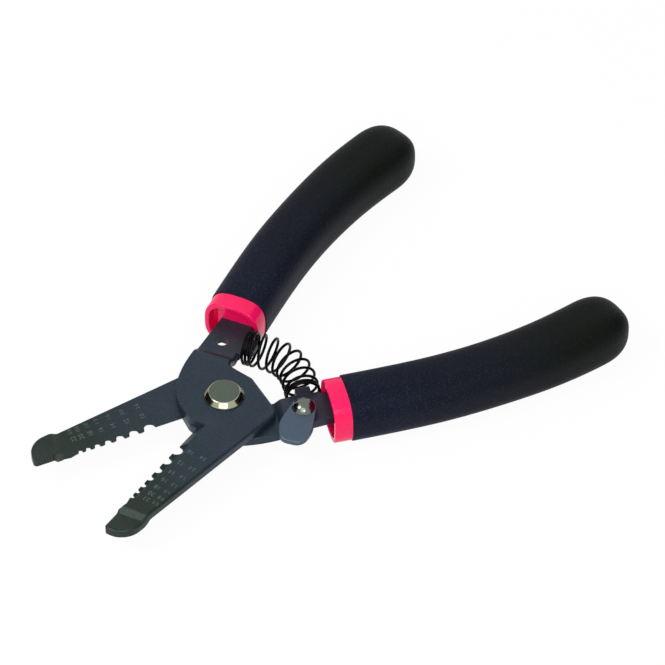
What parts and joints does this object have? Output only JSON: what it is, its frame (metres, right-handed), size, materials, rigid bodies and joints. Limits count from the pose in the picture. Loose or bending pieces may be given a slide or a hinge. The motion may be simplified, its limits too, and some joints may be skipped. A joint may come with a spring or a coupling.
{
  "type": "wire stripper",
  "caption": "Hand wire stripper: two crossed stamped jaws with graded notches, a cutter and a gripping nose, bowed return spring, thumb lock and cushioned handles.",
  "frame": {"origin": "on the table under the middle of the part's bounding box, the tool lying flat on its grips in the open pose", "axes": "+Y from the nose towards the handle ends along the tool's middle line, +Z along the pivot axis towards the flat-topped cap, +X towards the handle with the lock"},
  "size_m": [0.1046, 0.1526, 0.016],
  "materials": {
    "blackened_steel": "satin blackened steel",
    "nickel": "polished plating",
    "spring_wire": "oiled black wire",
    "lever_steel": "satin grey steel",
    "collar_plastic": "glossy moulded",
    "grip_rubber": "fine matt texture"
  },
  "bodies": {
    "rear_half": {"rear_plate": "blackened_steel", "rear_sleeve": "collar_plastic", "rear_grip": "grip_rubber", "pivot_cap": "nickel", "pivot_pin": "nickel", "pivot_washer": "nickel", "return_spring": "spring_wire", "lock_rivet": "nickel", "lock_washer": "nickel"},
    "front_half": {"front_plate": "blackened_steel", "front_sleeve": "collar_plastic", "front_grip": "grip_rubber"},
    "lock": {"lock_lever": "lever_steel"}
  },
  "joints": [
    {"name": "handle_pivot", "type": "hinge", "parent": "rear_half", "child": "front_half", "pos_m": [0, -0.02474, 0.00798], "axis": [0, 0, -1], "range_deg": [0, 31], "stiffness_Nm_per_rad": 0.42, "springref_deg": -8.59, "deforming": ["return_spring"]},
    {"name": "lock_swing", "type": "hinge", "parent": "rear_half", "child": "lock", "pos_m": [0.01686, -0.01167, 0.00798], "axis": [0, 0, -1], "range_deg": [-20, 15]}
  ]
}
